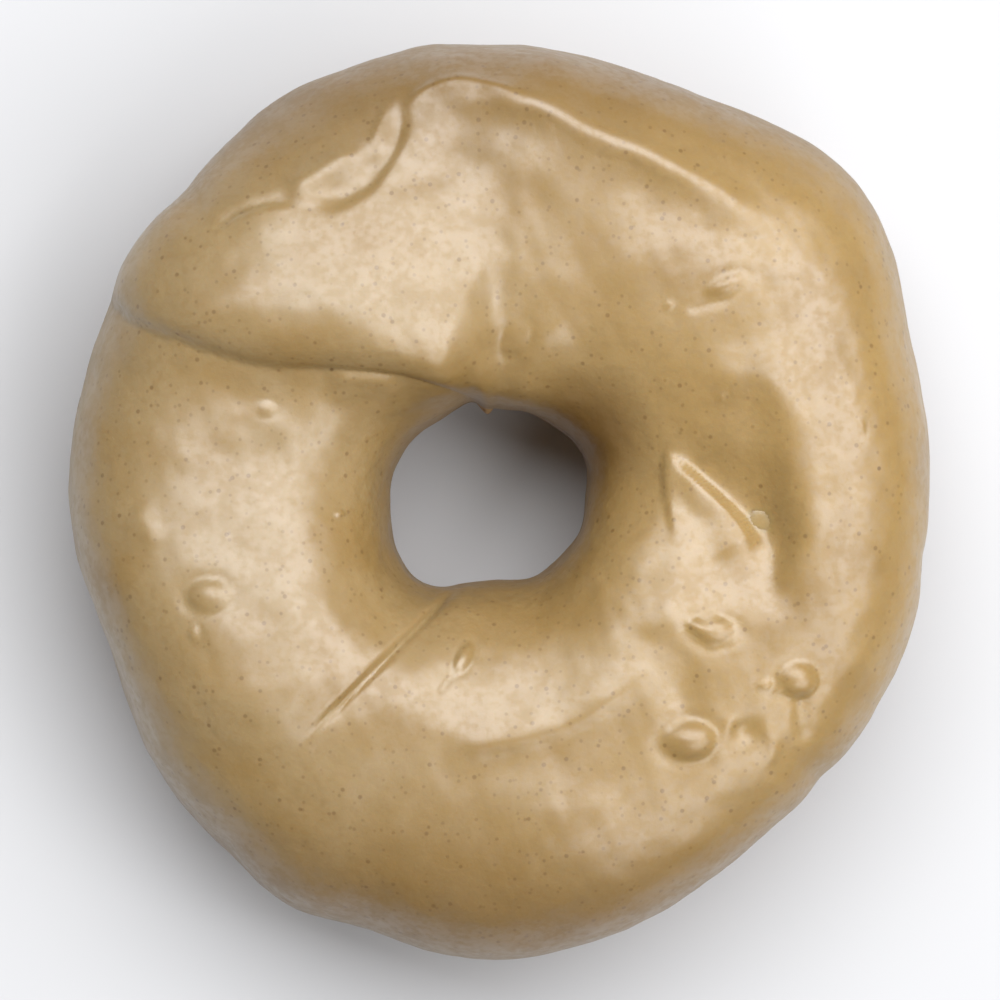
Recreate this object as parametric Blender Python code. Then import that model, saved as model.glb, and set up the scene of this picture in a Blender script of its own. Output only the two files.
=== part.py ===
"""Iced ring doughnut: a raised dough ring under a thin caramel icing.

The ring lies flat on its underside. +Z is up, the units are metres, and the origin is at the
middle of the footprint, on the surface that the doughnut rests on. A bearing is an angle round
the ring, counterclockwise from +X as seen from above. A section angle runs round the ring's
section: 0 at the outer waist, 90 at the top, 180 at the hole's waist and 270 underneath.
"""
import bpy
import numpy as np

# Driving dimensions of the ring
OUTER_RADIUS = 0.0430
HOLE_RADIUS = 0.0093
HOLE_SHIFT = (-0.00135, 0.0001)
WAIST_HEIGHT = 0.0165
CREST_HEIGHT = 0.0325
UNDERSIDE_SINK = 0.0015
ICING_THICKNESS = 0.0018
ICING_RIM_THICKNESS = 0.0012
ICING_GAP = 0.0003
ICING_BEAD = 4.0

# Uneven places: (bearing, half-width in degrees, how much is added there)
OUTER_SWELLS = ((3, 6, -0.0004), (20, 6, -0.0003), (42, 17, 0.0042), (100, 38, 0.0023), (119, 9, 0.0007),
                (100, 4, 0.0003), (136, 3, -0.0004), (146, 8, 0.0003), (200, 12, -0.0015),
                (222, 10, 0.0005), (230, 10, 0.0007), (242, 8, 0.0021), (268, 20, 0.0030),
                (288, 8, 0.0004), (310, 9, -0.0006), (319, 3, -0.0005), (330, 12, -0.0003),
                (353, 6, -0.0006))
HOLE_SWELLS = ((25, 25, 0.0011), (90, 14, -0.0005), (99, 4, -0.0003), (107, 6, 0.0003),
               (128, 12, -0.0004), (180, 25, 0.00045), (203, 10, 0.0004), (222, 18, 0.0014),
               (246, 8, -0.0004), (256, 10, -0.0004), (270, 17, -0.0009), (340, 18, 0.0005))
CREST_SWELLS = ((85, 20, -0.0008), (135, 25, 0.0010), (166, 20, -0.0013), (215, 26, 0.0012))

# The crest's place, as a share of the way from the hole to the rim, and how square the top is
CREST_PLACE = 0.46
CREST_PLACE_SWELLS = ((5, 18, 0.13), (35, 22, 0.10), (67, 13, 0.24), (84, 9, 0.30), (112, 19, -0.29),
                      (240, 14, -0.05), (315, 22, -0.05))
BASE_PLACE = 0.50
OUTER_SQUARENESS = 2.4
OUTER_SQUARENESS_SWELLS = ((2, 26, 0.5), (195, 22, 0.5), (310, 38, 0.7))
HOLE_SQUARENESS = 2.3
HOLE_SQUARENESS_SWELLS = ((84, 20, 0.8), (180, 20, 0.2), (335, 22, 0.6))
BASE_SQUARENESS = 2.2

# Section angles where the icing ends, on the outside and in the hole
OUTER_RIM = -18.0
OUTER_RIM_SWELLS = ((30, 14, -6), (85, 18, 5), (150, 10, -7), (205, 16, 4), (250, 12, -6),
                    (300, 18, 5), (345, 12, -5))
HOLE_RIM = 198.0
HOLE_RIM_SWELLS = ((40, 20, 5), (98, 14, -12), (160, 20, 6), (230, 18, -4), (290, 22, 6))

# Folds and ridges on top, as lines on plan: the fold where the upper left lobe overlaps the
# left one, the seam from the hole to the lower left, and the long ridge along the far side
LOBE_FOLD = ((-0.0443, 0.0227), (-0.0390, 0.0198), (-0.0357, 0.0173), (-0.0323, 0.0158),
             (-0.0275, 0.0141), (-0.0227, 0.0129), (-0.0164, 0.0126), (-0.0111, 0.0122),
             (-0.0068, 0.0112), (-0.0025, 0.0098), (0.0040, 0.0068), (0.0095, 0.0030))
LOBE_LIFT = 0.0018
LOBE_ROUNDING = 0.0040
LOBE_REACH = 0.0160
LOBE_END = 0.0090
LOBE_END_FADE = 0.0250
SEAM = ((-0.0029, -0.0074), (-0.0087, -0.0132), (-0.0145, -0.0190), (-0.0208, -0.0252))
SEAM_WIDTH = 0.0004
SEAM_DEPTH = 0.0004
FAR_RIDGE = ((-0.0068, 0.0388), (0.0019, 0.0385), (0.0096, 0.0351), (0.0192, 0.0306), (0.0279, 0.0250))
FAR_RIDGE_WIDTH = 0.0016
FAR_RIDGE_HEIGHT = 0.0007

# Round hollows and rolls on top: (x, y, radius, radius across, turn in degrees, height)
HOLLOWS = ((0.0217, -0.0006, 0.0060, 0.0069, 40, -0.0016),
           (0.0258, -0.0026, 0.0030, 0.0052, 27, -0.0011),
           (0.0086, 0.0220, 0.0106, 0.0077, 0, -0.0004),
           (-0.0193, 0.0311, 0.0077, 0.0033, 38, 0.0006))

# How finely the solids are divided
BEARINGS = 120
ICING_FACE_ROWS = 18
COVERED_ROWS = 12
BARE_ROWS = 8


def swell(bearing, base, swells):
    """A value that is base all round, with a smooth bump for each swell."""
    total = np.full_like(bearing, base)
    for centre, half_width, height in swells:
        away = (bearing - centre + 180) % 360 - 180
        total += height * np.exp(-(away / half_width) ** 2)
    return total


def line_points(points, steps=8):
    """A smooth line through the points, as closely spaced points."""
    p = np.array(points)
    p = np.vstack([2 * p[0] - p[1], p, 2 * p[-1] - p[-2]])
    line = []
    for a, b, c, d in zip(p, p[1:], p[2:], p[3:]):
        for t in np.arange(steps) / steps:
            bend = (2 * a - 5 * b + 4 * c - d) * t ** 2 + (3 * b - a - 3 * c + d) * t ** 3
            line.append(0.5 * (2 * b + (c - a) * t + bend))
    line.append(p[-2])
    return np.array(line)


def from_line(x, y, points):
    """Distance from a line, positive on its left, and the share of the way along it."""
    line = line_points(points)
    ways = np.diff(line, axis=0)
    lengths = np.hypot(ways[:, 0], ways[:, 1])
    starts = np.concatenate([[0], np.cumsum(lengths)])
    nearest = np.full(x.shape, np.inf)
    distance = np.zeros(x.shape)
    share = np.zeros(x.shape)
    for start, way, length, before in zip(line, ways, lengths, starts):
        ahead = ((x - start[0]) * way[0] + (y - start[1]) * way[1]) / length
        along = np.clip(ahead, 0, length)
        dx = x - start[0] - along * way[0] / length
        dy = y - start[1] - along * way[1] / length
        gap = np.hypot(dx, dy)
        closer = gap < nearest
        nearest = np.where(closer, gap, nearest)
        distance = np.where(closer, gap * np.sign(way[0] * dy - way[1] * dx), distance)
        share = np.where(closer, (before + along) / starts[-1], share)
    return distance, share


def eased(t):
    """0 to 1 with a smooth start and end."""
    t = np.clip(t, 0, 1)
    return t * t * (3 - 2 * t)


def ridge(x, y, points, width, height, ease_in=0.2, ease_out=0.3):
    """A rounded ridge along a line, or a groove where height is negative."""
    distance, share = from_line(x, y, points)
    ends = eased(share / ease_in) * eased((1 - share) / ease_out)
    return height * np.exp(-(distance / width) ** 2) * ends


def overlap(x, y, points, lift, rounding, reach):
    """A lobe that stands above what is on the right of a line, with a rounded edge."""
    distance = from_line(x, y, points)[0]
    edge = np.sqrt(1 - (1 - np.clip(distance / rounding, 0, 1)) ** 2)
    back = np.exp(-(np.clip(distance - rounding, 0, None) / reach) ** 2)
    return lift * edge * back


def hollow(x, y, centre_x, centre_y, radius, across, turn, height):
    """A soft oval hollow, or a bump where height is positive."""
    turned = np.radians(turn)
    along = (x - centre_x) * np.cos(turned) + (y - centre_y) * np.sin(turned)
    aside = (y - centre_y) * np.cos(turned) - (x - centre_x) * np.sin(turned)
    return height * np.exp(-(along / radius) ** 2 - (aside / across) ** 2)


def top_relief(x, y):
    """Height of the lobes, folds, ridges and hollows above the plain ring."""
    height = overlap(x, y, LOBE_FOLD, LOBE_LIFT, LOBE_ROUNDING, LOBE_REACH)
    height *= eased((LOBE_END - x) / LOBE_END_FADE)
    height += ridge(x, y, SEAM, SEAM_WIDTH, -SEAM_DEPTH)
    height += ridge(x, y, FAR_RIDGE, FAR_RIDGE_WIDTH, FAR_RIDGE_HEIGHT)
    for values in HOLLOWS:
        height += hollow(x, y, *values)
    return height


def plain_ring(bearing, angle, inset):
    """Radius and height of the ring's section, set in from its face."""
    turned = np.radians(bearing)
    shift = HOLE_SHIFT[0] * np.cos(turned) + HOLE_SHIFT[1] * np.sin(turned)
    hole = swell(bearing, HOLE_RADIUS, HOLE_SWELLS) + shift
    outer = swell(bearing, OUTER_RADIUS, OUTER_SWELLS)
    sine = np.sin(np.radians(angle))
    cosine = np.cos(np.radians(angle))
    above = sine >= 0
    outside = cosine >= 0
    place = np.where(above, swell(bearing, CREST_PLACE, CREST_PLACE_SWELLS), BASE_PLACE)
    middle = hole + (outer - hole) * place
    reach = np.where(outside, outer - middle, middle - hole) - inset
    rise = np.where(above, swell(bearing, CREST_HEIGHT, CREST_SWELLS) - WAIST_HEIGHT,
                    WAIST_HEIGHT + UNDERSIDE_SINK) - np.where(above, inset, 0)
    squareness = np.where(outside, swell(bearing, OUTER_SQUARENESS, OUTER_SQUARENESS_SWELLS),
                          swell(bearing, HOLE_SQUARENESS, HOLE_SQUARENESS_SWELLS))
    squareness = np.where(above, squareness, BASE_SQUARENESS)
    radius = middle + reach * np.sign(cosine) * np.abs(cosine) ** (2 / squareness)
    height = WAIST_HEIGHT + rise * np.sign(sine) * np.abs(sine) ** (2 / squareness)
    return radius, height


def ring_face(bearing, angle, inset):
    """Points of a skin of the ring, with the relief of its top."""
    turned = np.radians(bearing)
    radius, height = plain_ring(bearing, angle, 0)
    lift = top_relief(radius * np.cos(turned), radius * np.sin(turned))
    sine = np.sin(np.radians(angle))
    cosine = np.cos(np.radians(angle))
    lift = lift * eased(sine * 1.6)
    radius, height = plain_ring(bearing, angle, inset)
    radius = radius + lift * cosine
    height = np.maximum(height + lift * sine, 0)
    return radius * np.cos(turned), radius * np.sin(turned), height


def rims(bearing):
    """Section angles where the icing ends, outside and in the hole."""
    return swell(bearing, OUTER_RIM, OUTER_RIM_SWELLS), swell(bearing, HOLE_RIM, HOLE_RIM_SWELLS)


def icing_depth(share):
    """Thickness of the icing, from 0 at its outer rim to 1 at its rim in the hole."""
    return ICING_RIM_THICKNESS + (ICING_THICKNESS - ICING_RIM_THICKNESS) * np.sin(np.pi * share)


def icing_row(bearing, row):
    """The icing's section: over its face, round the rim in the hole, and back underneath."""
    outer_rim, hole_rim = rims(bearing)
    back = row - ICING_FACE_ROWS - 2
    on_face = row <= ICING_FACE_ROWS
    at_hole = row == ICING_FACE_ROWS + 1
    at_outer = back == COVERED_ROWS + 1
    share = np.where(on_face, row / ICING_FACE_ROWS, 1 - back / COVERED_ROWS)
    share = np.clip(share, 0, 1)
    angle = outer_rim + (hole_rim - outer_rim) * share + ICING_BEAD * (1.0 * at_hole - 1.0 * at_outer)
    inset = icing_depth(share) * np.where(on_face, 0, np.where(at_hole | at_outer, 0.5, 1))
    return angle, inset


def dough_row(bearing, row):
    """The dough's section: under the icing, then bare down to the underside and up again."""
    outer_rim, hole_rim = rims(bearing)
    bare = (row - COVERED_ROWS) / BARE_ROWS
    share = np.clip(row / COVERED_ROWS, 0, 1)
    covered_angle = outer_rim + (hole_rim - outer_rim) * share
    bare_angle = hole_rim + (360 + outer_rim - hole_rim) * bare
    angle = np.where(bare > 0, bare_angle, covered_angle)
    return angle, icing_depth(share) + ICING_GAP


def ring_solid(name, rows, section):
    """A torus whose points are moved onto the rows of a section."""
    middle_radius = (OUTER_RADIUS + HOLE_RADIUS) / 2
    bpy.ops.mesh.primitive_torus_add(major_segments=BEARINGS, minor_segments=rows,
                                     major_radius=middle_radius, minor_radius=WAIST_HEIGHT / 2)
    ring = bpy.context.object
    ring.name = name
    ring.data.name = name
    points = np.empty(len(ring.data.vertices) * 3)
    ring.data.vertices.foreach_get("co", points)
    x, y, z = points.reshape(-1, 3).T
    bearing = np.degrees(np.arctan2(y, x)) % 360
    turn = np.arctan2(z, np.hypot(x, y) - middle_radius) / (2 * np.pi)
    row = np.rint(turn * rows) % rows
    angle, inset = section(bearing, row)
    moved = np.stack(ring_face(bearing, angle, inset), axis=1)
    ring.data.vertices.foreach_set("co", moved.ravel())
    ring.data.update()
    ring.data.shade_smooth()
    return ring


def food_material(name, colour, roughness):
    material = bpy.data.materials.new(name)
    material.use_nodes = True
    shader = material.node_tree.nodes["Principled BSDF"]
    shader.inputs["Base Color"].default_value = (*colour, 1)
    shader.inputs["Roughness"].default_value = roughness
    shader.inputs["Metallic"].default_value = 0
    return material


def make_dough():
    """The raised ring of dough, whose flat underside the doughnut rests on."""
    dough = ring_solid("dough", COVERED_ROWS + BARE_ROWS, dough_row)
    dough.data.materials.append(food_material("fried_dough", (0.34, 0.17, 0.06), 0.6))
    return dough


def make_icing():
    """The caramel icing, a thin shell over the top, the sides and the hole's upper wall."""
    icing = ring_solid("icing", ICING_FACE_ROWS + COVERED_ROWS + 4, icing_row)
    icing.data.materials.append(food_material("caramel_icing", (0.43, 0.29, 0.13), 0.25))
    return icing


def clear_scene():
    for item in list(bpy.data.objects):
        bpy.data.objects.remove(item)


def gather(collection_name, pieces):
    """Move the pieces to a collection of their own."""
    collection = bpy.data.collections.new(collection_name)
    bpy.context.scene.collection.children.link(collection)
    for piece in pieces:
        for holder in list(piece.users_collection):
            holder.objects.unlink(piece)
        collection.objects.link(piece)


clear_scene()
gather("iced_ring_doughnut", [make_dough(), make_icing()])
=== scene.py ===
# %% [markdown]
# # A ring doughnut under caramel icing
#
# The doughnut lies on its flat underside, and the photograph looks straight down on it. It is
# two pieces: a raised ring of fried dough, and the icing that it was dipped in, which runs over
# its top, its sides and the upper wall of its hole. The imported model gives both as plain
# faceted solids. This lesson makes fine meshes of the same form, with the folds, blisters and
# grain of the set icing, and gives them their finishes.

# %% Load the frame
import math

import bmesh
import bpy
import numpy as np
from mathutils import Matrix, Vector


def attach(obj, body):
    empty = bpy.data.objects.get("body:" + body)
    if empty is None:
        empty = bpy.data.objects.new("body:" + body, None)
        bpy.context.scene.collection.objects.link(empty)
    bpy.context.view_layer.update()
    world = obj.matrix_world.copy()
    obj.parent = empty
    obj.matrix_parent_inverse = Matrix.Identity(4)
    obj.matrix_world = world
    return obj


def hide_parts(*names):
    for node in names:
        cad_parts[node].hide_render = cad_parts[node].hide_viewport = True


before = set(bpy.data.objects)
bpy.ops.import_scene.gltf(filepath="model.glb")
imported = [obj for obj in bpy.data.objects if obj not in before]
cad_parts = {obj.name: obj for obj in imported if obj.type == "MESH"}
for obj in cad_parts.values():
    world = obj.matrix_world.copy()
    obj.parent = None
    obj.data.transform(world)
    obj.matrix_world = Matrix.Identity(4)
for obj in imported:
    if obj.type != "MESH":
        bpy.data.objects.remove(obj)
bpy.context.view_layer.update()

# %% [markdown]
# ## Values that are uneven round the ring
#
# Dough is cut and proved by hand, so no radius or height of the ring is the same all round. A
# value here is one number plus a few smooth swells, each given by its bearing, its half-width
# in degrees and how much it adds. That keeps the whole outline in a handful of readable
# numbers, where a traced outline would be a long list of points. Bearings run counterclockwise
# from +X, as seen from above.

# %% Add swells to an even value
def swell(bearing, base, swells):
    """A value that is base all round, with a smooth bump for each swell."""
    total = np.full_like(bearing, base)
    for centre, half_width, height in swells:
        away = (bearing - centre + 180) % 360 - 180
        total += height * np.exp(-(away / half_width) ** 2)
    return total


def eased(t):
    """0 to 1 with a smooth start and end."""
    t = np.clip(t, 0, 1)
    return t * t * (3 - 2 * t)


# %% The ring's outline and its height
OUTER_RADIUS = 0.0430
OUTER_SWELLS = ((3, 6, -0.0004), (20, 6, -0.0003), (42, 17, 0.0042), (100, 38, 0.0023), (119, 9, 0.0007),
                (100, 4, 0.0003), (136, 3, -0.0004), (146, 8, 0.0003), (200, 12, -0.0015),
                (222, 10, 0.0005), (230, 10, 0.0007), (242, 8, 0.0021), (268, 20, 0.0030),
                (288, 8, 0.0004), (310, 9, -0.0006), (319, 3, -0.0005), (330, 12, -0.0003),
                (353, 6, -0.0006))
HOLE_RADIUS = 0.0093
HOLE_SHIFT = (-0.00135, 0.0001)
HOLE_SWELLS = ((25, 25, 0.0011), (90, 14, -0.0005), (99, 4, -0.0003), (107, 6, 0.0003),
               (128, 12, -0.0004), (180, 25, 0.00045), (203, 10, 0.0004), (222, 18, 0.0014),
               (246, 8, -0.0004), (256, 10, -0.0004), (270, 17, -0.0009), (340, 18, 0.0005))
WAIST_HEIGHT = 0.0165
CREST_HEIGHT = 0.0325
CREST_SWELLS = ((85, 20, -0.0008), (135, 25, 0.0010), (166, 20, -0.0013), (215, 26, 0.0012))
UNDERSIDE_SINK = 0.0015

every_degree = np.arange(0.0, 360.0)
print("outer radius from", swell(every_degree, OUTER_RADIUS, OUTER_SWELLS).min(),
      "to", swell(every_degree, OUTER_RADIUS, OUTER_SWELLS).max())

# %% [markdown]
# ## The ring's section
#
# A raised ring is rounder than a box and squarer than a circle, so its section is a
# superellipse: an ellipse whose power is more than two. The section angle goes from 0 at
# the outer waist over the top at 90 to the hole's waist at 180, and on underneath. The top is
# highest near the hole on one side and near the rim on another, and that is what moves the
# highlights about, so the crest's place is one of the uneven values.

# %% Shape the section
CREST_PLACE = 0.46
CREST_PLACE_SWELLS = ((5, 18, 0.13), (35, 22, 0.10), (68, 13, 0.24), (86, 9, 0.30),
                      (114, 19, -0.29), (240, 14, -0.05), (315, 22, -0.05))
BASE_PLACE = 0.50
OUTER_SQUARENESS = 2.4
OUTER_SQUARENESS_SWELLS = ((2, 26, 0.5), (104, 12, 0.7), (195, 22, 0.5), (315, 38, 1.0))
HOLE_SQUARENESS = 2.3
HOLE_SQUARENESS_SWELLS = ((80, 18, 1.6), (180, 20, 0.2), (335, 22, 0.6))
BASE_SQUARENESS = 2.2


def plain_ring(bearing, angle, inset):
    """Radius and height of the ring's section, set in from its face."""
    turned = np.radians(bearing)
    shift = HOLE_SHIFT[0] * np.cos(turned) + HOLE_SHIFT[1] * np.sin(turned)
    hole = swell(bearing, HOLE_RADIUS, HOLE_SWELLS) + shift
    outer = swell(bearing, OUTER_RADIUS, OUTER_SWELLS)
    sine = np.sin(np.radians(angle))
    cosine = np.cos(np.radians(angle))
    above = sine >= 0
    outside = cosine >= 0
    place = np.where(above, swell(bearing, CREST_PLACE, CREST_PLACE_SWELLS), BASE_PLACE)
    middle = hole + (outer - hole) * place
    reach = np.where(outside, outer - middle, middle - hole) - inset
    rise = np.where(above, swell(bearing, CREST_HEIGHT, CREST_SWELLS) - WAIST_HEIGHT,
                    WAIST_HEIGHT + UNDERSIDE_SINK) - np.where(above, inset, 0)
    squareness = np.where(outside, swell(bearing, OUTER_SQUARENESS, OUTER_SQUARENESS_SWELLS),
                          swell(bearing, HOLE_SQUARENESS, HOLE_SQUARENESS_SWELLS))
    squareness = np.where(above, squareness, BASE_SQUARENESS)
    radius = middle + reach * np.sign(cosine) * np.abs(cosine) ** (2 / squareness)
    height = WAIST_HEIGHT + rise * np.sign(sine) * np.abs(sine) ** (2 / squareness)
    return radius, height


# %% [markdown]
# ## Marks on the top
#
# The photograph is taken from straight above, so a mark's place on it gives its place on plan.
# The top of the ring is nearer the camera than its waist, so a pixel covers a little less of
# it there. Lines such as folds and ridges are drawn through a few points by a smooth curve,
# and each mark is a height that fades with the distance from its line or centre.

# %% Read places off the photograph
PHOTO_CENTRE = (500.5, 498.0)
PIXEL_AT_CREST = 0.0000963


def on_top(column, row):
    """Plan position, in metres, of a pixel of the photograph at the height of the top."""
    return (column - PHOTO_CENTRE[0]) * PIXEL_AT_CREST, (PHOTO_CENTRE[1] - row) * PIXEL_AT_CREST


# %% Measure from a smooth line
def line_points(points, steps=8):
    """A smooth line through the points, as closely spaced points."""
    p = np.array(points)
    p = np.vstack([2 * p[0] - p[1], p, 2 * p[-1] - p[-2]])
    line = []
    for a, b, c, d in zip(p, p[1:], p[2:], p[3:]):
        for t in np.arange(steps) / steps:
            bend = (2 * a - 5 * b + 4 * c - d) * t ** 2 + (3 * b - a - 3 * c + d) * t ** 3
            line.append(0.5 * (2 * b + (c - a) * t + bend))
    line.append(p[-2])
    return np.array(line)


def from_line(x, y, points):
    """Distance from a line, positive on its left, and the share of the way along it."""
    line = line_points(points)
    ways = np.diff(line, axis=0)
    lengths = np.hypot(ways[:, 0], ways[:, 1])
    starts = np.concatenate([[0], np.cumsum(lengths)])
    nearest = np.full(x.shape, np.inf)
    distance = np.zeros(x.shape)
    share = np.zeros(x.shape)
    for start, way, length, before in zip(line, ways, lengths, starts):
        ahead = ((x - start[0]) * way[0] + (y - start[1]) * way[1]) / length
        along = np.clip(ahead, 0, length)
        dx = x - start[0] - along * way[0] / length
        dy = y - start[1] - along * way[1] / length
        gap = np.hypot(dx, dy)
        closer = gap < nearest
        nearest = np.where(closer, gap, nearest)
        distance = np.where(closer, gap * np.sign(way[0] * dy - way[1] * dx), distance)
        share = np.where(closer, (before + along) / starts[-1], share)
    return distance, share


# %% Marks that follow a line
RIDGE_ENDS = (0.2, 0.3)
WRINKLE_ENDS = (0.25, 0.3)
SHELF_ENDS = (0.2, 0.25)


def faded_ends(share, ends):
    """1 along a line and 0 at its ends, each of which fades over its share of the length."""
    return eased(share / ends[0]) * eased((1 - share) / ends[1])


def ridge(x, y, points, width, height):
    """A rounded ridge along a line, or a groove where height is negative."""
    distance, share = from_line(x, y, points)
    return height * np.exp(-(distance / width) ** 2) * faded_ends(share, RIDGE_ENDS)


def wrinkle(x, y, points, left, right, height):
    """A ridge, or a groove where height is negative, with a width for each of its flanks."""
    distance, share = from_line(x, y, points)
    width = np.where(distance > 0, left, right)
    return height * np.exp(-(distance / width) ** 2) * faded_ends(share, WRINKLE_ENDS)


def rounded_step(distance, lift, rounding, reach):
    """A step up to the left of a line: a rounded edge, and a slow fade behind it."""
    edge = np.sqrt(1 - (1 - np.clip(distance / rounding, 0, 1)) ** 2)
    back = np.exp(-(np.clip(distance - rounding, 0, None) / reach) ** 2)
    return lift * edge * back


def overlap(x, y, points, lift, rounding, reach):
    """A lobe that stands above what is on the right of a line."""
    return rounded_step(from_line(x, y, points)[0], lift, rounding, reach)


def shelf(x, y, points, lift, rounding, reach):
    """A short step along a line, that fades away at its ends."""
    distance, share = from_line(x, y, points)
    return rounded_step(distance, lift, rounding, reach) * faded_ends(share, SHELF_ENDS)


# %% Marks that are ovals
MOAT_PLACE = 1.2
MOAT_WIDTH = 0.3
MOAT_DEPTH = 0.18


def oval_share(x, y, centre_x, centre_y, radius, across, turn):
    """How far out from an oval's centre each place is, where 1 is the oval itself."""
    turned = np.radians(turn)
    along = (x - centre_x) * np.cos(turned) + (y - centre_y) * np.sin(turned)
    aside = (y - centre_y) * np.cos(turned) - (x - centre_x) * np.sin(turned)
    return np.hypot(along / radius, aside / across)


def hollow(x, y, *oval_and_height):
    """A soft oval hollow, or a bump where its height is positive."""
    *oval, height = oval_and_height
    return height * np.exp(-oval_share(x, y, *oval) ** 2)


def blister(x, y, *oval_and_height):
    """A blister of air under the icing: a low dome with a faint moat round it."""
    *oval, height = oval_and_height
    share = oval_share(x, y, *oval)
    dome = np.clip(1 - share ** 2, 0, 1)
    moat = MOAT_DEPTH * np.exp(-((share - MOAT_PLACE) / MOAT_WIDTH) ** 2)
    return height * (dome - moat)


# %% [markdown]
# ## Folds of the dough
#
# The ring was closed and cut by hand. Its upper left lobe laps over the left one, a seam runs
# from the hole to the lower left, a low ridge lies along the far side, and there is a dimple on
# the right, as if a fingertip had pressed it. The dough itself has these, so they are in both
# pieces, and in the plain solids too. Places and sizes are in metres, and turns in degrees.

# %% Place the folds
LOBE_FOLD = ((-0.0443, 0.0227), (-0.0390, 0.0198), (-0.0357, 0.0173), (-0.0323, 0.0158),
             (-0.0275, 0.0141), (-0.0227, 0.0129), (-0.0164, 0.0126), (-0.0111, 0.0122),
             (-0.0068, 0.0112), (-0.0025, 0.0098), (0.0040, 0.0068), (0.0095, 0.0030))
LOBE_LIFT = 0.0018
LOBE_ROUNDING = 0.0040
LOBE_REACH = 0.0160
LOBE_END = 0.0090
LOBE_END_FADE = 0.0250
SEAM = ((-0.0029, -0.0074), (-0.0087, -0.0132), (-0.0145, -0.0190), (-0.0208, -0.0252))
SEAM_WIDTH = 0.0004
SEAM_DEPTH = 0.0004
FAR_RIDGE = ((-0.0068, 0.0388), (0.0019, 0.0385), (0.0096, 0.0351), (0.0192, 0.0306), (0.0279, 0.0250))
FAR_RIDGE_WIDTH = 0.0016
FAR_RIDGE_HEIGHT = 0.0007
HOLLOWS = ((0.0217, -0.0006, 0.0060, 0.0069, 40, -0.0016),
           (0.0258, -0.0026, 0.0030, 0.0052, 27, -0.0011),
           (0.0086, 0.0220, 0.0106, 0.0077, 0, -0.0004),
           (-0.0193, 0.0311, 0.0077, 0.0033, 38, 0.0006))


def dough_relief(x, y):
    """Height of the lobes, folds, ridges and hollows above the plain ring."""
    height = overlap(x, y, LOBE_FOLD, LOBE_LIFT, LOBE_ROUNDING, LOBE_REACH)
    height *= eased((LOBE_END - x) / LOBE_END_FADE)
    height += ridge(x, y, SEAM, SEAM_WIDTH, -SEAM_DEPTH)
    height += ridge(x, y, FAR_RIDGE, FAR_RIDGE_WIDTH, FAR_RIDGE_HEIGHT)
    for values in HOLLOWS:
        height += hollow(x, y, *values)
    return height


print("points on the lobe's fold:", len(LOBE_FOLD), "hollows:", len(HOLLOWS))

# %% [markdown]
# ## Marks of the icing
#
# The icing was warm when the ring was dipped, and it set with everything that happened to it:
# blisters of air, wrinkles where a skin had formed, scratches, and soft hollows and bumps. Each
# is a line or an oval of the photograph, placed by its pixels, with its height in millimetres.

# %% Place the icing's marks
MM = 0.001
# Lines through pixels, then the widths on the left and right and the height in millimetres
WRINKLES = (
    (((403, 92), (400, 122), (391, 150), (371, 181), (343, 202), (308, 218)), 0.7, 0.8, -0.45),
    (((222, 240), (233, 223), (264, 210), (290, 207), (306, 213)), 0.5, 0.35, -0.35),
    (((290, 203), (318, 186), (345, 167), (366, 150)), 1.5, 0.6, 0.6),
    (((318, 206), (345, 188), (368, 168), (382, 146)), 0.7, 0.6, -0.4),
    (((334, 196), (350, 181), (370, 176)), 0.25, 0.25, 0.16),
    (((338, 186), (352, 175), (366, 170)), 0.2, 0.2, 0.12),
    (((372, 150), (380, 126), (391, 98)), 0.3, 0.4, 0.25),
    (((279, 168), (310, 148), (346, 132)), 0.6, 0.8, 0.06),
    (((405, 122), (413, 103), (432, 92), (462, 87), (500, 90), (530, 97)), 0.6, 0.5, 0.3),
    (((322, 377), (355, 380), (385, 384), (409, 393)), 1.1, 2.5, 0.5),
    (((667, 440), (667, 470), (669, 505), (677, 545)), 1.1, 0.4, 0.3),
    (((684, 515), (685, 555), (678, 600), (655, 648)), 3.2, 1.6, 0.42),
    (((526, 110), (525, 180), (522, 260), (516, 330), (510, 400)), 8.0, 1.8, 0.42),
    (((128, 508), (143, 526), (158, 552)), 1.2, 1.0, 0.25),
    (((440, 748), (500, 742), (560, 727), (615, 696), (662, 655)), 3.0, 1.2, 0.5),
    (((456, 589), (430, 615), (400, 645), (370, 675), (340, 705), (300, 744)), 2.2, 0.35, -0.36),
    (((758, 330), (778, 380), (795, 430), (801, 480), (803, 530), (799, 570), (790, 605)),
     3.0, 2.2, 0.7),
    (((806, 690), (803, 720), (812, 750)), 1.0, 0.8, -0.35),
    (((683, 308), (706, 304), (735, 296)), 0.3, 0.4, -0.18),
    (((768, 284), (800, 277), (834, 271)), 0.2, 0.2, -0.1),
    (((765, 291), (800, 284), (832, 279)), 0.2, 0.2, -0.07),
    (((738, 243), (755, 236), (768, 237)), 0.3, 0.3, -0.12),
    (((437, 697), (446, 684), (453, 674)), 0.3, 0.4, -0.15),
    (((735, 712), (726, 740), (716, 770)), 0.6, 0.6, 0.2),
    (((760, 718), (775, 745), (770, 775)), 0.6, 0.6, 0.2),
)
# Lines through pixels, then the left side's height, rounding and reach in millimetres
SHELVES = (
    (((668, 446), (685, 468), (706, 488), (732, 511), (752, 533), (762, 556)), -0.4, 0.7, 2.2),
    (((762, 556), (752, 533), (732, 511), (706, 488), (685, 468), (668, 446)), 0.7, 0.5, 2.6),
)
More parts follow.
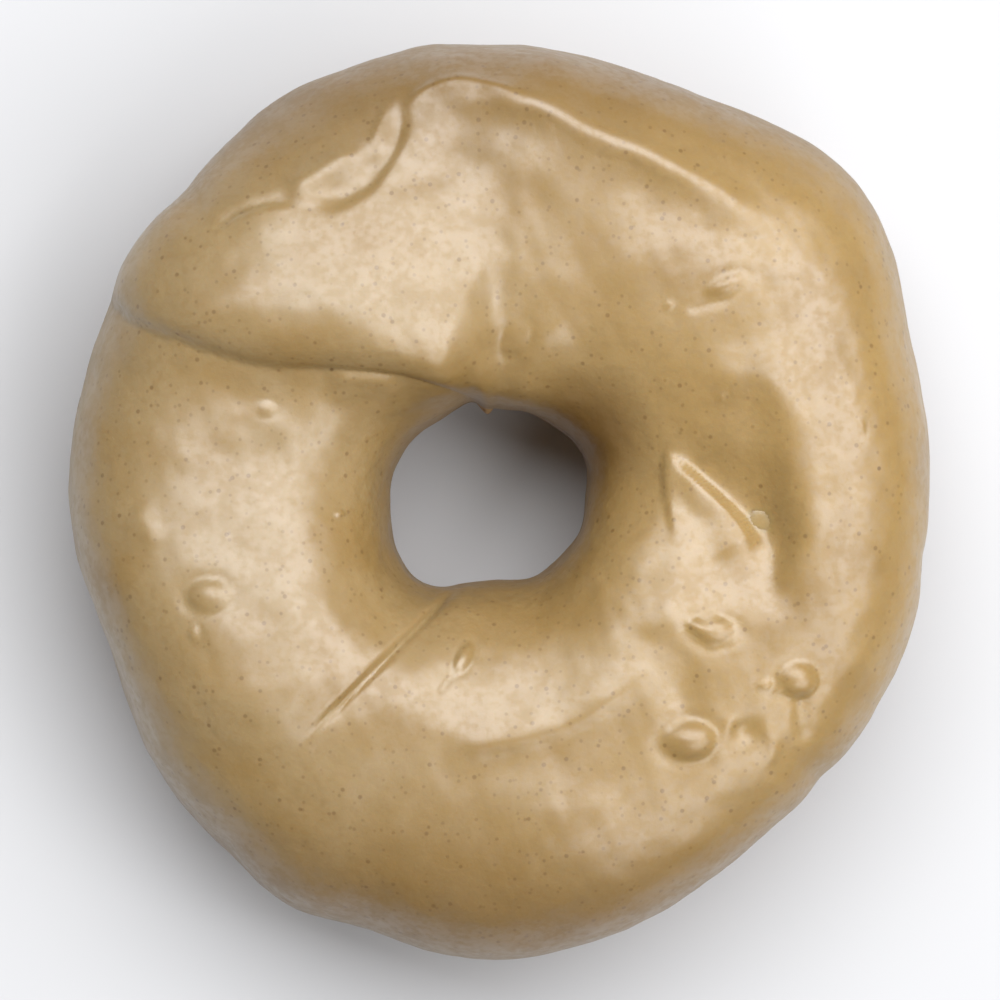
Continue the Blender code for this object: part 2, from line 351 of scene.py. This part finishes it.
# Centre pixel, radius and radius across in pixels, turn in degrees, height in millimetres
SOFT_OVALS = (
    (708, 577, 40, 42, 0, -0.7),
    (774, 565, 20, 44, -8, -0.7),
    (684, 688, 20, 36, 5, -0.45),
    (746, 733, 14, 12, 0, -0.5),
    (275, 389, 90, 32, 0, -0.7),
    (215, 662, 85, 85, 0, 0.8),
    (458, 86, 45, 32, 0, 1.3),
    (450, 165, 50, 28, 10, -0.55),
    (425, 288, 55, 35, 0, 0.35),
    (125, 585, 45, 60, 0, 0.5),
    (255, 705, 60, 45, 0, 0.4),
    (530, 830, 50, 60, 0, 0.35),
    (562, 150, 50, 40, 0, 0.4),
    (620, 300, 75, 110, 0, 0.4),
    (190, 328, 70, 28, 15, 0.5),
    (400, 722, 60, 45, 0, 0.35),
    (635, 262, 45, 35, 0, 0.3),
    (590, 845, 60, 60, 0, 0.6),
    (800, 556, 22, 50, 0, 0.4),
    (655, 690, 50, 45, 0, 0.25),
)
BLISTERS = (
    (691, 742, 27, 20, 5, 0.7), (713, 631, 22, 14, 8, 0.75), (695, 625, 8, 8, 0, 0.25),
    (800, 681, 20, 18, 0, 0.65), (767, 686, 8, 6, 0, 0.25), (780, 691, 6, 6, 0, 0.2),
    (727, 284, 22, 9, 24, 0.35), (463, 660, 16, 8, 60, 0.4), (208, 596, 22, 16, 0, 0.45),
    (516, 334, 19, 13, 50, 0.2), (195, 633, 6, 8, 0, 0.2), (338, 514, 5, 5, 0, 0.2),
    (864, 427, 4, 4, 0, 0.15), (723, 397, 5, 5, 0, 0.15), (309, 203, 6, 6, 0, 0.15),
    (265, 408, 10, 8, 0, 0.15), (670, 305, 6, 6, 0, 0.15),
)


def oval_in_metres(values):
    """Plan values in metres of an oval mark that is given in pixels of the photograph."""
    column, row, radius, across, turn, height = values
    return (*on_top(column, row), radius * PIXEL_AT_CREST, across * PIXEL_AT_CREST, turn, height * MM)


def icing_relief(x, y):
    """Height of the icing's own marks above the folds of the dough."""
    height = np.zeros_like(x)
    for pixels, *sizes in WRINKLES:
        height += wrinkle(x, y, [on_top(*pixel) for pixel in pixels], *(size * MM for size in sizes))
    for pixels, *sizes in SHELVES:
        height += shelf(x, y, [on_top(*pixel) for pixel in pixels], *(size * MM for size in sizes))
    for values in SOFT_OVALS:
        height += hollow(x, y, *oval_in_metres(values))
    for values in BLISTERS:
        height += blister(x, y, *oval_in_metres(values))
    return height


print("marks of the icing:", len(WRINKLES) + len(SHELVES) + len(SOFT_OVALS) + len(BLISTERS))

# %% [markdown]
# ## Ripples
#
# No cooked or poured surface is perfectly even. A sum of many waves with directions and lengths
# drawn at random, but from a fixed seed, gives soft lumps with no pattern, the same in each run.

# %% Make ripples
def ripples(points, shortest, longest, count, seed):
    """Soft lumps of about -1 to 1 at each point, between two wavelengths in metres."""
    random = np.random.default_rng(seed)
    total = np.zeros(len(points))
    for _ in range(count):
        way = random.normal(size=3)
        way /= np.linalg.norm(way)
        wavelength = random.uniform(shortest, longest)
        total += np.sin(points @ way * (2 * np.pi / wavelength) + random.uniform(0, 2 * np.pi))
    return total / math.sqrt(count)


# %% [markdown]
# ## From a spun circle to the doughnut
#
# Both pieces start as the same thing: a circle of vertices, stood on edge and spun once round
# the hole, which makes a ring of even quads with no seam and no pole. Each vertex then knows its
# bearing and its row round the section, and moves to its place on the doughnut. The spin keeps
# the mesh closed, and the rows can be set close together where the surface shows.

# %% Spin a ring
SPIN_STEPS = 60
CUTS = 7
SPUN_RADIUS = 0.03
SPUN_SECTION = 0.01


def goes_round(edge):
    """True for an edge that goes round the ring and not round its section."""
    first, last = (vert.co.xy for vert in edge.verts)
    return first.angle(last) > math.pi / SPIN_STEPS


def spun_ring(name, rows):
    """A ring of quads, with a bearing in degrees and a row number for each vertex."""
    bm = bmesh.new()
    bmesh.ops.create_circle(bm, cap_ends=False, segments=rows, radius=SPUN_SECTION)
    stand = Matrix.Translation((SPUN_RADIUS, 0, 0)) @ Matrix.Rotation(math.pi / 2, 4, "X")
    bmesh.ops.transform(bm, matrix=stand, verts=bm.verts)
    bmesh.ops.spin(bm, geom=bm.verts[:] + bm.edges[:], axis=(0, 0, 1), cent=(0, 0, 0),
                   steps=SPIN_STEPS, angle=2 * math.pi, use_merge=True)
    bmesh.ops.subdivide_edges(bm, edges=[edge for edge in bm.edges if goes_round(edge)],
                              cuts=CUTS, use_grid_fill=True)
    bmesh.ops.recalc_face_normals(bm, faces=bm.faces)
    mesh = bpy.data.meshes.new(name)
    bm.to_mesh(mesh)
    bm.free()
    x, y, z = read_points(mesh).T
    bearing = np.degrees(np.arctan2(y, x)) % 360
    turn = np.arctan2(z, np.hypot(x, y) - SPUN_RADIUS) / (2 * np.pi)
    return mesh, bearing, np.rint(turn * rows) % rows


def read_points(mesh):
    points = np.empty(len(mesh.vertices) * 3)
    mesh.vertices.foreach_get("co", points)
    return points.reshape(-1, 3)


def move_points(mesh, points):
    mesh.vertices.foreach_set("co", points.ravel())
    mesh.update()
    mesh.shade_smooth()


def show(mesh):
    """Put a finished mesh in the scene, at the origin."""
    piece = bpy.data.objects.new(mesh.name, mesh)
    bpy.context.scene.collection.objects.link(piece)
    return piece


# %% Move points onto the doughnut
RELIEF_FADE = 1.6


def ring_points(bearing, angle, inset, relief):
    """Points of a skin of the ring, with its relief, and the way out of the skin there."""
    turned = np.radians(bearing)
    radius, height = plain_ring(bearing, angle, 0)
    x, y = radius * np.cos(turned), radius * np.sin(turned)
    sine = np.sin(np.radians(angle))
    cosine = np.cos(np.radians(angle))
    lift = relief(x, y) * eased(sine * RELIEF_FADE)
    radius, height = plain_ring(bearing, angle, inset)
    radius = radius + lift * cosine
    height = np.maximum(height + lift * sine, 0)
    points = np.stack([radius * np.cos(turned), radius * np.sin(turned), height], axis=1)
    out = np.stack([cosine * np.cos(turned), cosine * np.sin(turned), sine], axis=1)
    return points, out


# %% [markdown]
# ## Where the icing ends
#
# The ring was dipped top down to a little past its waist, so the icing's edge is a wavy line
# low on the side, with a rounded bead where it stopped running. The shell is thin: just under
# two millimetres on top and a little more than one at its edge. It is modelled as a closed
# shell, with a face, a bead at each rim and a back that lies just off the dough.

# %% Shape the icing
OUTER_RIM = -18.0
OUTER_RIM_SWELLS = ((30, 14, -6), (85, 18, 5), (150, 10, -7), (205, 16, 4), (250, 12, -6),
                    (300, 18, 5), (345, 12, -5))
HOLE_RIM = 198.0
HOLE_RIM_SWELLS = ((40, 20, 5), (98, 14, -12), (160, 20, 6), (230, 18, -4), (290, 22, 6))
ICING_THICKNESS = 0.0018
ICING_RIM_THICKNESS = 0.0012
ICING_GAP = 0.0003
BEAD_TURN = 3.5
FACE_ROWS = 150
BEAD_ROWS = 5
BACK_ROWS = 14
TOP_CROWDING = 0.35


def rims(bearing):
    """Section angles where the icing ends, outside and in the hole."""
    return swell(bearing, OUTER_RIM, OUTER_RIM_SWELLS), swell(bearing, HOLE_RIM, HOLE_RIM_SWELLS)


def icing_depth(share):
    """Thickness of the icing, from 0 at its outer rim to 1 at its rim in the hole."""
    return ICING_RIM_THICKNESS + (ICING_THICKNESS - ICING_RIM_THICKNESS) * np.sin(np.pi * share)


def icing_section(bearing, row):
    """Section angle and inset of each row.

    The rows are the face, the bead in the hole, the back and the bead outside, in turn.
    """
    outer_rim, hole_rim = rims(bearing)
    past_face = row - FACE_ROWS
    past_back = past_face - BEAD_ROWS - 1 - BACK_ROWS
    on_face = past_face <= 0
    in_hole = (past_face > 0) & (past_face <= BEAD_ROWS)
    outside = past_back > 0
    face_share = row / FACE_ROWS
    face_share = face_share + TOP_CROWDING * np.sin(2 * np.pi * face_share) / (2 * np.pi)
    back_share = 1 - (past_face - BEAD_ROWS - 1) / BACK_ROWS
    share = np.clip(np.where(on_face, face_share, back_share), 0, 1)
    bead = np.where(in_hole, past_face, past_back) / (BEAD_ROWS + 1)
    bead = np.where(in_hole | outside, bead, 0)
    bulge = BEAD_TURN * np.sin(np.pi * bead)
    angle = outer_rim + (hole_rim - outer_rim) * share + np.where(in_hole, bulge, -bulge)
    round_rim = (1 - np.cos(np.pi * bead)) / 2
    depth = np.where(on_face, 0, np.where(in_hole, round_rim, np.where(outside, 1 - round_rim, 1)))
    return angle, icing_depth(share) * depth


# %% Make the icing
LUMP_HEIGHT = 0.00006
LUMP_WAVES = (0.004, 0.009, 40)
FINE_LUMP_HEIGHT = 0.000016
FINE_LUMP_WAVES = (0.0015, 0.003, 40)


def whole_relief(x, y):
    return dough_relief(x, y) + icing_relief(x, y)


def make_icing():
    rows = FACE_ROWS + 1 + BEAD_ROWS + BACK_ROWS + 1 + BEAD_ROWS
    mesh, bearing, row = spun_ring("caramel_icing_coat", rows)
    angle, inset = icing_section(bearing, row)
    points, out = ring_points(bearing, angle, inset, whole_relief)
    lumps = LUMP_HEIGHT * ripples(points, *LUMP_WAVES, seed=11)
    lumps += FINE_LUMP_HEIGHT * ripples(points, *FINE_LUMP_WAVES, seed=12)
    points += out * np.where(inset == 0, lumps, 0)[:, None]
    move_points(mesh, points)
    return show(mesh)


icing = make_icing()
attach(icing, "root")
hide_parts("icing")
print("icing triangles:", 2 * len(icing.data.polygons))

# %% [markdown]
# ## The dough
#
# Under the icing is a fried ring: brown where it lay in the oil, with a paler band round the
# waist where it floated. Only its lower part shows, below the icing and down in the hole, and
# at the hole's far side a little of it bulges out past the icing's edge. Its skin is slightly
# wrinkled, which the mesh gives as ripples.

# %% Make the dough
COVERED_ROWS = 24
BARE_ROWS = 72
SKIN_LUMP_HEIGHT = 0.00022
SKIN_LUMP_WAVES = (0.006, 0.014, 30)
SKIN_WRINKLE_HEIGHT = 0.00012
SKIN_WRINKLE_WAVES = (0.0015, 0.004, 60)
SKIN_FADE_ROWS = 4
FLOOR_FADE = 0.002
PEEK_BEARING = 99
PEEK_HALF_WIDTH = 10
PEEK_ANGLE = 202
PEEK_HALF_TURN = 14
PEEK = 0.0030


def dough_section(bearing, row):
    """Section angle and inset of each row: under the icing, then bare round the underside."""
    outer_rim, hole_rim = rims(bearing)
    bare = (row - COVERED_ROWS) / BARE_ROWS
    share = np.clip(row / COVERED_ROWS, 0, 1)
    covered_angle = outer_rim + (hole_rim - outer_rim) * share
    bare_angle = hole_rim + (360 + outer_rim - hole_rim) * bare
    angle = np.where(bare > 0, bare_angle, covered_angle)
    inset = icing_depth(share) + ICING_GAP
    peek = np.exp(-((bearing - PEEK_BEARING) / PEEK_HALF_WIDTH) ** 2)
    peek = peek * np.exp(-((angle - PEEK_ANGLE) / PEEK_HALF_TURN) ** 2)
    return angle, inset - PEEK * np.where(bare > 0, peek, 0)


def make_dough():
    mesh, bearing, row = spun_ring("fried_dough_ring", COVERED_ROWS + BARE_ROWS)
    angle, inset = dough_section(bearing, row)
    points, out = ring_points(bearing, angle, inset, dough_relief)
    skin = SKIN_LUMP_HEIGHT * ripples(points, *SKIN_LUMP_WAVES, seed=21)
    skin += SKIN_WRINKLE_HEIGHT * ripples(points, *SKIN_WRINKLE_WAVES, seed=22)
    bare = eased((row - COVERED_ROWS) / SKIN_FADE_ROWS)
    bare *= eased((COVERED_ROWS + BARE_ROWS - row) / SKIN_FADE_ROWS)
    off_floor = eased(points[:, 2] / FLOOR_FADE)
    points += out * (skin * bare * off_floor)[:, None]
    points[:, 2] = np.maximum(points[:, 2], 0)
    move_points(mesh, points)
    return show(mesh)


dough = make_dough()
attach(dough, "root")
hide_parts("dough")
print("dough triangles:", 2 * len(dough.data.polygons))

# %% [markdown]
# ## Writing materials as expressions
#
# A finish is easier to read as a formula than as a drawing of nodes. The small class below
# wraps a socket, so that sums and products of sockets add the Math nodes themselves, and one
# method adds any other node from its type, its settings and its inputs.

# %% Wrap sockets
class Signal:
    """A value that varies over a surface, with Python's arithmetic."""

    def __init__(self, finish, socket):
        self.finish = finish
        self.socket = socket

    def __add__(self, other):
        return self.finish.maths("ADD", self, other)

    def __sub__(self, other):
        return self.finish.maths("SUBTRACT", self, other)

    def __rsub__(self, other):
        return self.finish.maths("SUBTRACT", other, self)

    def __mul__(self, other):
        return self.finish.maths("MULTIPLY", self, other)

    __radd__ = __add__
    __rmul__ = __mul__


SPECK_EDGE = (0.6, 1.4)


class Finish:
    """A material that is written as expressions."""

    def __init__(self, name, **constants):
        self.material = bpy.data.materials.new(name)
        self.material.use_nodes = True
        self.tree = self.material.node_tree
        self.shader = self.tree.nodes["Principled BSDF"]
        for socket, value in constants.items():
            self.shader.inputs[socket.replace("_", " ")].default_value = value
        self.place = self.node("ShaderNodeTexCoord", {}, {}, "Object")

    def node(self, kind, settings, inputs, output=0):
        """Add a node: its settings first, then the values or links of its inputs."""
        node = self.tree.nodes.new(kind)
        for name, value in settings.items():
            setattr(node, name, value)
        for name, value in inputs.items():
            self.feed(node.inputs[name], value)
        return Signal(self, node.outputs[output])

    def feed(self, socket, value):
        if isinstance(value, Signal):
            self.tree.links.new(value.socket, socket)
        else:
            socket.default_value = value

    def maths(self, operation, a, b):
        return self.node("ShaderNodeMath", {"operation": operation}, {0: a, 1: b})

    def mix(self, share, a, b):
        """Colour a where share is 0 and b where it is 1."""
        a, b = (value if isinstance(value, Signal) else (*value, 1) for value in (a, b))
        settings = {"data_type": "RGBA", "clamp_factor": True}
        # A mix node keeps its colours on inputs 6 and 7 and on output 2
        return self.node("ShaderNodeMix", settings, {0: share, 6: a, 7: b}, 2)

    def axis(self, name):
        """How far each place is along X, Y or Z, in metres."""
        return self.node("ShaderNodeSeparateXYZ", {}, {0: self.place}, name)

    def distance(self, point):
        """How far each place is from a point, in metres."""
        settings = {"operation": "DISTANCE"}
        return self.node("ShaderNodeVectorMath", settings, {0: self.place, 1: point}, "Value")

    def noise(self, size, detail=2.0, roughness=0.5):
        """Soft noise of 0 to 1, whose lumps are about size metres across."""
        inputs = {"Vector": self.place, "Scale": 1 / size, "Detail": detail, "Roughness": roughness}
        return self.node("ShaderNodeTexNoise", {}, inputs, "Fac")

    def step(self, value, low, high):
        """0 below low, 1 above high and smooth between."""
        inputs = {"Value": value, 1: low, 2: high}
        return self.node("ShaderNodeMapRange", {"interpolation_type": "SMOOTHSTEP"}, inputs)

    def specks(self, spacing, radius, share):
        """1 inside scattered specks, where share of the cells of spacing metres hold one."""
        inputs = {"Vector": self.place, "Scale": 1 / spacing, "Randomness": 1.0}
        distance = self.node("ShaderNodeTexVoronoi", {}, inputs, "Distance")
        draw = self.node("ShaderNodeTexVoronoi", {}, inputs, "Color")
        draw = self.node("ShaderNodeSeparateColor", {}, {0: draw}, 0)
        inner, outer = (edge * radius / spacing for edge in SPECK_EDGE)
        inside = 1 - self.step(distance, inner, outer)
        return inside * self.maths("GREATER_THAN", draw, 1 - share)

    def bump(self, height, depth, below=None):
        """A normal from a height of 0 to 1 that stands for depth metres."""
        inputs = {"Height": height, "Distance": depth}
        if below:
            inputs["Normal"] = below
        return self.node("ShaderNodeBump", {}, inputs)

    def set(self, **inputs):
        for name, value in inputs.items():
            self.feed(self.shader.inputs[name.replace("_", " ")], value)


# %% [markdown]
# ## Caramel icing
#
# Set caramel icing is a pale, greyish tan, a little translucent, with fine dark specks. It is
# browner where it is thin, low on the sides and in the hole, and this browning is also painted
# shade, made deeper towards the near and far sides. More painted shade darkens the hole's upper
# right wall, and a painted reflection greys the left half. It is greyer here than the word
# caramel suggests, because the photograph is. Constant values sit on the shader's own sockets,
# and only what varies over the surface is linked.

# %% Colour the icing
# The first colour is the grey of a painted reflection that lies over the left half; the second is the
# tan at the right.
PAINTED_REFLECTION_GREY = (0.325, 0.228, 0.108)
ICING_WARM = (0.355, 0.230, 0.084)
ICING_DEEP = (0.275, 0.170, 0.056)
# Brown of thin icing, which also serves as the colour of painted shade.
THIN_AND_SHADE_BROWN = (0.15, 0.078, 0.018)
SPECK_BROWN = (0.11, 0.048, 0.010)
PAINTED_REFLECTION_REACH = 0.035
PAINTED_REFLECTION_UNEVENNESS = 0.04
BLOTCH_SIZE = 0.009
BLOTCH_LEVELS = (0.4, 0.75)
BLOTCH_STRENGTH = 0.7
SUGAR_SIZE = 0.0008
SUGAR_LEVELS = (0.42, 0.7)
SUGAR_STRENGTH = 0.35
# Browner low down where the icing is thin, and painted shade: the level also rises at the left and right
# and falls at the near and far sides, which darkens those rims.
THIN_AND_SHADE_LEVELS = (0.012, 0.031)
PAINTED_SHADE_EASE_ACROSS = 5.0
PAINTED_SHADE_GROWTH_ALONG = 8.0
THIN_AND_SHADE_UNEVENNESS = 0.004
THIN_AND_SHADE_STRENGTH = 0.6
# Painted shade on the hole's upper right wall: its centre, the distances of full and of no darkening,
# and its strength.
HOLE_SHADE_CENTRE = (0.0105, 0.0085, 0.022)
HOLE_SHADE_REACH = (0.003, 0.0105)
HOLE_SHADE_STRENGTH = 0.85
SPECKS = (0.0016, 0.00022, 0.6)
SPECK_STRENGTH = 0.42
FAINT_SPECKS = (0.0010, 0.00018, 0.6)
FAINT_SPECK_STRENGTH = 0.28


def icing_colour(finish):
    """Grey at the left from a painted reflection and warm at the right, browner in blotches, low down
    where the icing is thinner, and in painted shade.
    """
    across, along, height = (finish.axis(name) for name in "XYZ")
    blotches = finish.noise(BLOTCH_SIZE, detail=3.0)
    # Painted reflection: the icing turns grey towards the left.
    clear_of_painted_reflection = finish.step(across + PAINTED_REFLECTION_UNEVENNESS * (blotches - 0.5), -PAINTED_REFLECTION_REACH, PAINTED_REFLECTION_REACH)
    colour = finish.mix(clear_of_painted_reflection, PAINTED_REFLECTION_GREY, ICING_WARM)
    blotched = BLOTCH_STRENGTH * finish.step(blotches, *BLOTCH_LEVELS)
    colour = finish.mix(blotched, colour, ICING_DEEP)
    sugar = SUGAR_STRENGTH * finish.step(finish.noise(SUGAR_SIZE), *SUGAR_LEVELS)
    colour = finish.mix(sugar, colour, ICING_DEEP)
    # Painted shade: the level at which the icing browns is lowered at the near and far sides and raised
    # at the left and right.
    bend = PAINTED_SHADE_EASE_ACROSS * across * across - PAINTED_SHADE_GROWTH_ALONG * along * along
    thin_and_shade_level = height + bend + THIN_AND_SHADE_UNEVENNESS * (blotches - 0.5)
    thin_and_painted_shade = THIN_AND_SHADE_STRENGTH * (1 - finish.step(thin_and_shade_level, *THIN_AND_SHADE_LEVELS))
    colour = finish.mix(thin_and_painted_shade, colour, THIN_AND_SHADE_BROWN)
    # Painted shade darkens the icing near the hole's upper right wall.
    hole_shade = HOLE_SHADE_STRENGTH * (1 - finish.step(finish.distance(HOLE_SHADE_CENTRE), *HOLE_SHADE_REACH))
    colour = finish.mix(hole_shade, colour, THIN_AND_SHADE_BROWN)
    specks = SPECK_STRENGTH * finish.specks(*SPECKS)
    specks = specks + FAINT_SPECK_STRENGTH * finish.specks(*FAINT_SPECKS)
    return finish.mix(specks, colour, SPECK_BROWN)


# %% [markdown]
# The icing's gloss is a coat, because a coat's weight may vary over the surface. It is patchy,
# as a skin with fine sugar in it is, and slight low on the sides, which have run thin. A fine
# orange peel and a grain of sugar break up the edges of the highlights.

# %% Finish the icing
PEEL_SIZE = 0.0012
PEEL_DEPTH = 0.00005
GRAIN_SIZE = 0.0004
GRAIN_DEPTH = 0.000025
FILM_SIZE = 0.0035
FILM_SHARE = 1.2
GLOSS_LEVELS = (0.25, 0.75)
DULL_GLOSS = 0.55
SIDE_GLOSS = 0.15
SIDE_LEVELS = (0.016, 0.028)
LEAST_ROUGHNESS = 0.24
FILM_ROUGHNESS = 0.34


def icing_skin(finish):
    """The normal of a fine orange peel with a grain of sugar on it."""
    peel = finish.bump(finish.noise(PEEL_SIZE, detail=1.0), PEEL_DEPTH)
    return finish.bump(finish.noise(GRAIN_SIZE), GRAIN_DEPTH, peel)


def icing_gloss(finish, film):
    """The weight of the coat: patchy, and slight low on the sides."""
    bare = finish.step(finish.noise(SUGAR_SIZE) + FILM_SHARE * (film - 0.5), *GLOSS_LEVELS)
    high = finish.step(finish.axis("Z"), *SIDE_LEVELS)
    return (DULL_GLOSS + (1 - DULL_GLOSS) * bare) * (SIDE_GLOSS + (1 - SIDE_GLOSS) * high)


def finish_icing():
    finish = Finish("caramel_icing_finish", Specular_IOR_Level=0.1, Coat_Roughness=0.34,
                    Coat_IOR=1.75, Subsurface_Weight=0.25,
                    Subsurface_Radius=(0.004, 0.0022, 0.001), Subsurface_Scale=0.35)
    film = finish.noise(FILM_SIZE, detail=4.0, roughness=0.65)
    finish.set(Base_Color=icing_colour(finish), Roughness=LEAST_ROUGHNESS + FILM_ROUGHNESS * film,
               Coat_Weight=icing_gloss(finish, film), Normal=icing_skin(finish))
    return finish.material


icing.data.materials.append(finish_icing())
print("nodes in the icing's finish:", len(icing.data.materials[0].node_tree.nodes))

# %% [markdown]
# ## Fried dough
#
# The crust is deepest brown on the underside and where it meets the icing's edge, and pale in
# a ragged band round the waist, which never lay in the oil. It is matt, with fine wrinkles and
# pores.

# %% Finish the dough
CRUST_BROWN = (0.23, 0.095, 0.030)
CRUST_GOLD = (0.42, 0.215, 0.075)
CRUST_LEVELS = (0.3, 0.7)
BAND_PALE = (0.62, 0.42, 0.20)
BAND_LOW = 0.0065
BAND_HIGH = 0.0135
BAND_SOFTNESS = 0.003
BAND_STRENGTH = 0.8
PATCH_SIZE = 0.009
PATCH_RAGGEDNESS = 0.004
CREASE_SIZE = 0.0012
CREASE_RAGGEDNESS = 0.0015
CREASE_DEPTH = 0.00018
PORES = (0.0014, 0.00018, 0.5)
PORE_STRENGTH = 0.5
PORE_DEPTH = 0.00012
CRUST_ROUGHNESS = 0.5
CREASE_ROUGHNESS = 0.2


def finish_dough():
    finish = Finish("fried_dough_finish", Specular_IOR_Level=0.4, Subsurface_Weight=0.1,
                    Subsurface_Radius=(0.003, 0.0015, 0.0007), Subsurface_Scale=0.3)
    patches = finish.noise(PATCH_SIZE, detail=4.0)
    creases = finish.noise(CREASE_SIZE, detail=4.0)
    level = finish.axis("Z") + PATCH_RAGGEDNESS * (patches - 0.5)
    level = level + CREASE_RAGGEDNESS * (creases - 0.5)
    above_low = finish.step(level, BAND_LOW, BAND_LOW + BAND_SOFTNESS)
    below_high = 1 - finish.step(level, BAND_HIGH, BAND_HIGH + BAND_SOFTNESS)
    colour = finish.mix(finish.step(patches, *CRUST_LEVELS), CRUST_BROWN, CRUST_GOLD)
    colour = finish.mix(BAND_STRENGTH * above_low * below_high, colour, BAND_PALE)
    pores = finish.specks(*PORES)
    colour = finish.mix(PORE_STRENGTH * pores, colour, CRUST_BROWN)
    normal = finish.bump(creases, CREASE_DEPTH)
    normal = finish.bump(1 - pores, PORE_DEPTH, normal)
    finish.set(Base_Color=colour, Roughness=CRUST_ROUGHNESS + CREASE_ROUGHNESS * creases,
               Normal=normal)
    return finish.material


dough.data.materials.append(finish_dough())
print("nodes in the dough's finish:", len(dough.data.materials[0].node_tree.nodes))

# %% [markdown]
# ## The studio
#
# The ring lies on a plain pale table. One large softbox stands beyond it, high up and a little
# to the right: its reflection is the broad pale patch on each part of the icing that leans
# slightly towards the top of the picture. A dimmer one at the near right lights what leans to
# the lower right. The rest sees only the faint, warm light of the room.

# %% Lay the table
TABLE_SIZE = 1.6
TABLE_DROP = 0.00005
TABLE_LIGHT = (0.64, 0.65, 0.675)
TABLE_DARK = (0.61, 0.62, 0.645)
TABLE_PATCH_SIZE = 0.05


def make_table():
    bm = bmesh.new()
    bmesh.ops.create_grid(bm, x_segments=1, y_segments=1, size=TABLE_SIZE / 2)
    bmesh.ops.translate(bm, vec=(0, 0, -TABLE_DROP), verts=bm.verts)
    mesh = bpy.data.meshes.new("pale_table")
    bm.to_mesh(mesh)
    bm.free()
    finish = Finish("table_finish", Roughness=0.9, Specular_IOR_Level=0.1)
    finish.set(Base_Color=finish.mix(finish.noise(TABLE_PATCH_SIZE), TABLE_LIGHT, TABLE_DARK))
    mesh.materials.append(finish.material)
    return show(mesh)


make_table()

# %% Light the ring
AIM = Vector((0, 0, 0.02))
SOFTBOX_WHITE = (1.0, 0.994, 0.985)
POWER_FOR_BRIGHTNESS = 4
ROOM_COLOUR = (1.0, 0.97, 0.93, 1)
ROOM_STRENGTH = 0.11


def softbox(name, place, width, depth, brightness):
    """A soft rectangular light that faces the ring and looks equally bright at any size."""
    light = bpy.data.lights.new(name, "AREA")
    light.shape = "RECTANGLE"
    light.size = width
    light.size_y = depth
    light.energy = POWER_FOR_BRIGHTNESS * brightness * width * depth
    light.color = SOFTBOX_WHITE
    lamp = bpy.data.objects.new(name, light)
    lamp.location = place
    lamp.rotation_euler = (Vector(place) - AIM).to_track_quat("Z", "Y").to_euler()
    bpy.context.scene.collection.objects.link(lamp)
    print(name, "power:", light.energy)


softbox("far_softbox", place=(0.12, 0.33, 0.76), width=1.04, depth=0.58, brightness=4.35)
softbox("near_softbox", place=(0.43, -0.31, 0.725), width=0.72, depth=0.52, brightness=2.85)

room = bpy.data.worlds.new("studio_air")
room.use_nodes = True
room.node_tree.nodes["Background"].inputs["Color"].default_value = ROOM_COLOUR
room.node_tree.nodes["Background"].inputs["Strength"].default_value = ROOM_STRENGTH
bpy.context.scene.world = room

# %% Aim the camera
CAMERA_HEIGHT = 0.5
PHOTO_WIDTH = 0.1
SENSOR_WIDTH = 36.0
PHOTO_MIDDLE = (-0.00005, -0.0002)


def make_camera():
    """A camera straight above, whose frame is PHOTO_WIDTH across at the ring's waist."""
    camera = bpy.data.cameras.new("overhead_camera")
    camera.sensor_width = SENSOR_WIDTH
    camera.lens = SENSOR_WIDTH * (CAMERA_HEIGHT - WAIST_HEIGHT) / PHOTO_WIDTH
    holder = bpy.data.objects.new("overhead_camera", camera)
    holder.location = (*PHOTO_MIDDLE, CAMERA_HEIGHT)
    bpy.context.scene.collection.objects.link(holder)
    return holder


bpy.context.scene.camera = make_camera()
bpy.context.scene.view_settings.view_transform = "Standard"
print("camera's focal length:", bpy.context.scene.camera.data.lens)
